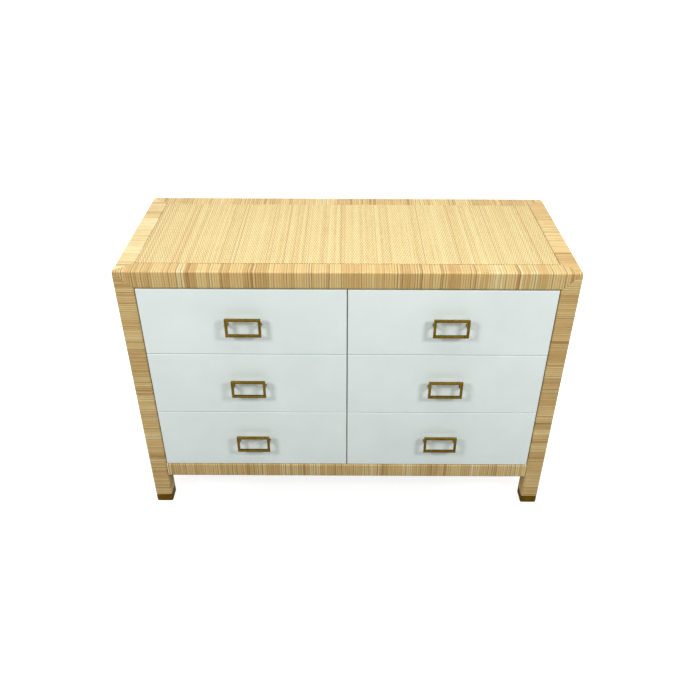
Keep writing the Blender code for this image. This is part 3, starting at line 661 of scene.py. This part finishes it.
for side in ("left", "right"):
    chance = random.Random(f"rail {side}")
    low = Vector((case_low.x, case_low.y, case_high.z - SQUARE))
    high = Vector((case_low.x + SQUARE, case_high.y, case_high.z))
    if side == "right":
        low.x, high.x = case_high.x - SQUARE, case_high.x
    joints = strand_joints(low.y, high.y, True, True, chance)
    bm = wrapped_bar(1, low, high, joints, chance, next_number(), RAIL_SWAY, MITRE_LENGTH, MITRE_LENGTH)
    for end in ("front", "back"):
        mitre(bm, outer_corner(side, end), IN_Y[end], (IN_X[side], DOWN))
        soften_corner(bm, outer_corner(side, end), IN_X[side] + IN_Y[end] + DOWN)
    add_member(f"top_rail_{side}", bm, LEFT_RAIL_PALENESS if side == "left" else 0.0)

# %% [markdown]
# ## The posts
#
# A post is wrapped from the mitre down to its brass cap. Below the last strand a bare peg of the wooden
# core goes down into the cap, so the end face is inset past the cap's wall and pushed down into it.

# %% Make the four posts
PEG_INSET = 0.0025
NEAR = 1e-6
PEG_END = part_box("post_front_left")[0].z

for side in ("left", "right"):
    for end in ("front", "back"):
        chance = random.Random(f"post {side} {end}")
        corner = outer_corner(side, end)
        inner = corner + (IN_X[side] + IN_Y[end]) * SQUARE
        low = Vector((min(corner.x, inner.x), min(corner.y, inner.y), CAP_TOP + SEAT_GAP))
        high = Vector((max(corner.x, inner.x), max(corner.y, inner.y), corner.z))
        joints = strand_joints(low.z, high.z, False, True, chance)
        bm = wrapped_bar(2, low, high, joints, chance, next_number(), POST_SWAY, 0.0, MITRE_LENGTH)
        foot = [f for f in bm.faces if all(abs(v.co.z - low.z) < NEAR for v in f.verts)]
        bmesh.ops.inset_region(bm, faces=foot, thickness=PEG_INSET, use_even_offset=True)
        peg = bmesh.ops.extrude_face_region(bm, geom=foot)
        peg_verts = [g for g in peg["geom"] if isinstance(g, bmesh.types.BMVert)]
        bmesh.ops.translate(bm, verts=peg_verts, vec=(0, 0, PEG_END - low.z))
        bmesh.ops.delete(bm, geom=foot, context="FACES_ONLY")
        mitre(bm, corner, DOWN, (IN_X[side], IN_Y[end]))
        soften_corner(bm, corner, IN_X[side] + IN_Y[end] + DOWN)
        add_member(f"post_{end}_{side}", bm)

# %% [markdown]
# ## The bottom rails
#
# These are thinner than the posts and stand flush with their outer faces. They butt against the posts, so
# their ends are square, and their cane is a little paler than the posts'.

# %% Make the four bottom rails
for end in ("front", "back"):
    chance = random.Random(f"bottom {end}")
    face_y = case_low.y if end == "front" else case_high.y - RAIL_DEPTH
    low = Vector((case_low.x + SQUARE + SEAT_GAP, face_y, RAIL_BOTTOM))
    high = Vector((case_high.x - SQUARE - SEAT_GAP, face_y + RAIL_DEPTH, RAIL_TOP))
    joints = strand_joints(low.x, high.x, False, False, chance)
    bm = wrapped_bar(0, low, high, joints, chance, next_number(), BOTTOM_SWAY, 0.0, 0.0)
    add_member(f"bottom_rail_{end}", bm, BOTTOM_RAIL_PALENESS)

for side in ("left", "right"):
    chance = random.Random(f"bottom {side}")
    face_x = case_low.x if side == "left" else case_high.x - RAIL_DEPTH
    low = Vector((face_x, case_low.y + SQUARE + SEAT_GAP, RAIL_BOTTOM))
    high = Vector((face_x + RAIL_DEPTH, case_high.y - SQUARE - SEAT_GAP, RAIL_TOP))
    joints = strand_joints(low.y, high.y, False, False, chance)
    bm = wrapped_bar(1, low, high, joints, chance, next_number(), BOTTOM_SWAY, 0.0, 0.0)
    add_member(f"bottom_rail_{side}", bm, BOTTOM_RAIL_PALENESS)

# %% [markdown]
# ## The woven panels
#
# Each panel is a board with the mat glued on. The mat is modelled flat: a fine grid whose points
# rise to the crown of each stitch and sink at the joints. Its rim is then drawn down to the board, closed
# underneath, and the whole mat is turned into place.

# %% Define the mat
MAT_THICKNESS = 0.0022
STITCH_RISE = 0.0006
STITCH_PROFILE = (0.30, 0.82, 0.97, 1.0, 0.97, 0.82)
STITCH_BULGE = 0.0003
LOWEST_STITCH = 0.2
MAT_SIDE_SEAM = 0.0016
BOARD_ROUNDING = 0.0008


def woven_mat(width, length, seed, chance):
    """A mat in the XY plane, centred, with its columns along Y and its crowns at Z = 0."""
    columns = 2 * round(width / MAT_PITCH / 2)
    rows = round(length / STITCH_LENGTH)
    steps = len(STITCH_PROFILE)
    bm = bmesh.new()
    bmesh.ops.create_grid(bm, x_segments=2 * columns, y_segments=steps * rows, size=0.5)
    bmesh.ops.scale(bm, vec=(width, length, 1), verts=bm.verts)
    stitch = bm.verts.layers.float_vector.new("stitch")
    lows = [chance.uniform(0.0, LOWEST_STITCH) for _ in range(columns + 1)]
    for vert in bm.verts:
        half_column = round((vert.co.x / width + 0.5) * 2 * columns)
        step = round((vert.co.y / length + 0.5) * rows * steps)
        vert[stitch] = (half_column / 2, step / steps, seed)
        column, at_crown = divmod(half_column, 2)
        phase = (step + steps // 2 * (column % 2)) % steps
        if at_crown:
            vert.co.z = STITCH_RISE * (STITCH_PROFILE[phase] * (1 - lows[column]) - 1)
        else:
            vert.co.z = -STITCH_RISE
            if 0 < half_column < 2 * columns:
                vert.co.x += STITCH_BULGE * math.cos(2 * math.pi * phase / steps)
    rim = [e for e in bm.edges if e.is_boundary]
    drawn = bmesh.ops.extrude_edge_only(bm, edges=rim)
    drawn_verts = [g for g in drawn["geom"] if isinstance(g, bmesh.types.BMVert)]
    for vert in drawn_verts:
        vert.co.z = -MAT_THICKNESS
    drawn_edges = [g for g in drawn["geom"] if isinstance(g, bmesh.types.BMEdge)]
    bmesh.ops.contextual_create(bm, geom=[e for e in drawn_edges if e.is_boundary])
    bmesh.ops.recalc_face_normals(bm, faces=bm.faces[:])
    return bm


def add_panel(node, normal, low, high, columns_along, seed):
    """A board and its mat between two corners. The mat faces along the normal, its columns along an axis."""
    axis = max(range(3), key=lambda i: abs(normal[i]))
    across = next(i for i in range(3) if i not in (axis, columns_along))
    outer = high[axis] if normal[axis] > 0 else low[axis]
    centre = (low + high) / 2
    centre[axis] = outer
    y_way = Vector((0, 0, 0))
    y_way[columns_along] = 1.0
    x_way = y_way.cross(normal)
    turn = Matrix((x_way, y_way, normal)).transposed().to_4x4()
    turn.translation = centre
    width = high[across] - low[across] - 2 * MAT_SIDE_SEAM
    length = high[columns_along] - low[columns_along] - 2 * SEAT_GAP
    bm = woven_mat(width, length, seed, random.Random(f"mat {node}"))
    bmesh.ops.transform(bm, matrix=turn, verts=bm.verts)
    mat = finish_piece(node + "_mat", bm, MAT)

    board_low, board_high = low.copy(), high.copy()
    if normal[axis] > 0:
        board_high[axis] -= MAT_THICKNESS + SEAT_GAP
    else:
        board_low[axis] += MAT_THICKNESS + SEAT_GAP
    bm = bmesh.new()
    set_box(bm, board_low, board_high)
    bmesh.ops.bevel(bm, geom=bm.edges[:], offset=BOARD_ROUNDING, offset_type="OFFSET", segments=2,
                    profile=0.5, affect="EDGES", material=-1)
    board = finish_piece(node + "_board", bm, PLYWOOD[0], smooth=False)
    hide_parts(node)
    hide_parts(node)
    print(mat.name, len(mat.data.polygons), "faces,", f"{width:.3f} by {length:.3f} m")


# %% Make the top and the two sides
INNER_LOW = case_low + Vector((SQUARE, SQUARE, 0))
INNER_HIGH = case_high - Vector((SQUARE, SQUARE, 0))
TOP_SEED, LEFT_SEED, RIGHT_SEED = 0.0, 1.0, 2.0

low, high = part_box("top_panel")
low = Vector((INNER_LOW.x, INNER_LOW.y, low.z))
high = Vector((INNER_HIGH.x, INNER_HIGH.y, high.z))
add_panel("top_panel", Vector((0, 0, 1)), low, high, 1, TOP_SEED)
for side, way, seed in (("left", -1, LEFT_SEED), ("right", 1, RIGHT_SEED)):
    low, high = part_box(f"side_panel_{side}")
    low = Vector((low.x, INNER_LOW.y, RAIL_TOP))
    high = Vector((high.x, INNER_HIGH.y, case_high.z - SQUARE))
    add_panel(f"side_panel_{side}", Vector((way, 0, 0)), low, high, 2, seed)

# %% [markdown]
# ## Finishes for the CAD nodes that stay
#
# The drawers, pulls, caps and inner boards have their true shape in the CAD model, so they only get a
# finish. The grain of a drawer's side runs from front to back, and that of its back and bottom across.

# %% Give each CAD node its material
def node_finish(node):
    if node.startswith("drawer_") and node.endswith("_front"):
        return LACQUER
    if node.startswith("foot_cap"):
        return SHADED_CAP_BRASS
    if node.endswith("_pull"):
        return BRASS
    if node.startswith("drawer_") and "_side_" in node:
        return DRAWER_WOOD[1]
    if node.startswith("drawer_") and node.endswith("_back"):
        return DRAWER_WOOD[0]
    if node in ("runner_side_left", "runner_side_right", "centre_divider"):
        return PLYWOOD[1]
    return PLYWOOD[0]


for node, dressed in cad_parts.items():
    if not dressed.hide_render:
        dressed.data.materials.clear()
        dressed.data.materials.append(node_finish(node))
print("dressed", sum(not o.hide_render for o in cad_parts.values()), "CAD nodes")

# %% [markdown]
# ## The studio
#
# The dresser stands on a pale floor under one large soft lamp, with a smaller one at each side of the
# camera, whose light falls past the pulls and leaves their soft shadows on the fronts. Two low ones behind
# light the back and the sides, and stay below the top so that they don't shine in it. The floor takes the
# shadow with a plain diffuse finish. Near the dresser its grey is darker, as painted shade under it, so that
# it throws less light up. What the camera sees round the dresser is white, which comes from the world and
# from a glow in the floor, a little weaker near the dresser. The metal mirrors the white world too, but
# little of the floor's glow.

# %% Lay the floor
FLOOR_HALF = 30.0
NEAR_GLOW, FAR_GLOW = 0.86, 1.0
NEAR_RADIUS, FAR_RADIUS = 0.8, 3.6
# Painted shade: the floor's grey is darker close round the dresser.
SHADE_PATCH_GREY, PALE_GREY = 0.24, 0.56
SHADE_PATCH_RADIUS, PALE_RADIUS = 0.35, 0.90
MIRRORED_SHARE = 0.08


def make_floor():
    paper = Finish("floor_paper")
    rays = paper.add("LightPath").outputs
    direct = paper.math("MAXIMUM", rays["Is Camera Ray"], rays["Is Transmission Ray"])
    seen = paper.math("MULTIPLY_ADD", rays["Is Glossy Ray"], MIRRORED_SHARE, direct)
    radius = paper.add("VectorMath", {0: paper.place()}, operation="LENGTH").outputs["Value"]
    share = paper.math("MULTIPLY", radius, 1 / FLOOR_HALF)
    glow = paper.curve(share, (NEAR_RADIUS / FLOOR_HALF, NEAR_GLOW), (FAR_RADIUS / FLOOR_HALF, FAR_GLOW))
    # The darker grey near the middle is painted shade under the dresser.
    colour = paper.curve(share, (SHADE_PATCH_RADIUS / FLOOR_HALF, SHADE_PATCH_GREY), (PALE_RADIUS / FLOOR_HALF, PALE_GREY))
    paper.plug(paper.surface.inputs["Emission Color"], (1.0, 1.0, 1.0, 1.0))
    paper.plug(paper.surface.inputs["Emission Strength"], paper.math("MULTIPLY", seen, glow))
    return paper.set(Base_Color=colour, Roughness=0.9, Specular_IOR_Level=0.1)


bm = bmesh.new()
bmesh.ops.create_grid(bm, x_segments=1, y_segments=1, size=FLOOR_HALF)
mesh = bpy.data.meshes.new("floor")
bm.to_mesh(mesh)
bm.free()
mesh.materials.append(make_floor())
floor = bpy.data.objects.new("floor", mesh)
bpy.context.scene.collection.objects.link(floor)
print("floor", FLOOR_HALF * 2, "m wide")

# %% Hang the lamps and set the world
OVERHEAD_PLACE, OVERHEAD_TARGET = (0.0, -0.15, 2.9), (0.0, -0.05, 0.6)
OVERHEAD_WIDTH, OVERHEAD_RADIANCE = 2.4, 2.92
FRONT_PLACE, FRONT_TARGET = (1.9, -2.0, 2.5), (0.0, 0.0, 0.6)
FRONT_WIDTH, FRONT_RADIANCE = 0.6, 34.0
REAR_PLACE, REAR_TARGET = (2.4, 2.2, 0.50), (0.0, 0.0, 0.5)
REAR_WIDTH, REAR_RADIANCE = 0.8, 19.0


def add_lamp(name, place, target, width, radiance):
    """A square lamp that the camera doesn't see. Radiance is its surface's brightness, where 1 is white."""
    lamp = bpy.data.lights.new(name, "AREA")
    lamp.shape = "SQUARE"
    lamp.size = width
    lamp.energy = math.pi * radiance * width * width
    hung = bpy.data.objects.new(name, lamp)
    bpy.context.scene.collection.objects.link(hung)
    hung.location = place
    hung.rotation_mode = "QUATERNION"
    hung.rotation_quaternion = (Vector(target) - Vector(place)).to_track_quat("-Z", "Y")
    hung.visible_camera = False


add_lamp("overhead_lamp", OVERHEAD_PLACE, OVERHEAD_TARGET, OVERHEAD_WIDTH, OVERHEAD_RADIANCE)
for side in (-1, 1):
    turned = Vector((side, 1, 1))
    add_lamp(f"front_lamp_{side}", turned * Vector(FRONT_PLACE), FRONT_TARGET, FRONT_WIDTH, FRONT_RADIANCE)
    add_lamp(f"rear_lamp_{side}", turned * Vector(REAR_PLACE), REAR_TARGET, REAR_WIDTH, REAR_RADIANCE)

DAYLIGHT = 0.16
BACKDROP = 1.0
world = bpy.data.worlds.new("studio")
bpy.context.scene.world = world
world.use_nodes = True
tree = world.node_tree
rays = tree.nodes.new("ShaderNodeLightPath").outputs
seen = rays["Is Camera Ray"]
for kind in ("Is Glossy Ray", "Is Transmission Ray"):
    either = tree.nodes.new("ShaderNodeMath")
    either.operation = "MAXIMUM"
    tree.links.new(seen, either.inputs[0])
    tree.links.new(rays[kind], either.inputs[1])
    seen = either.outputs[0]
strength = tree.nodes.new("ShaderNodeMapRange")
tree.links.new(seen, strength.inputs["Value"])
strength.inputs["To Min"].default_value = DAYLIGHT
strength.inputs["To Max"].default_value = BACKDROP
tree.nodes["Background"].inputs["Color"].default_value = (1.0, 1.0, 1.0, 1.0)
tree.links.new(strength.outputs[0], tree.nodes["Background"].inputs["Strength"])
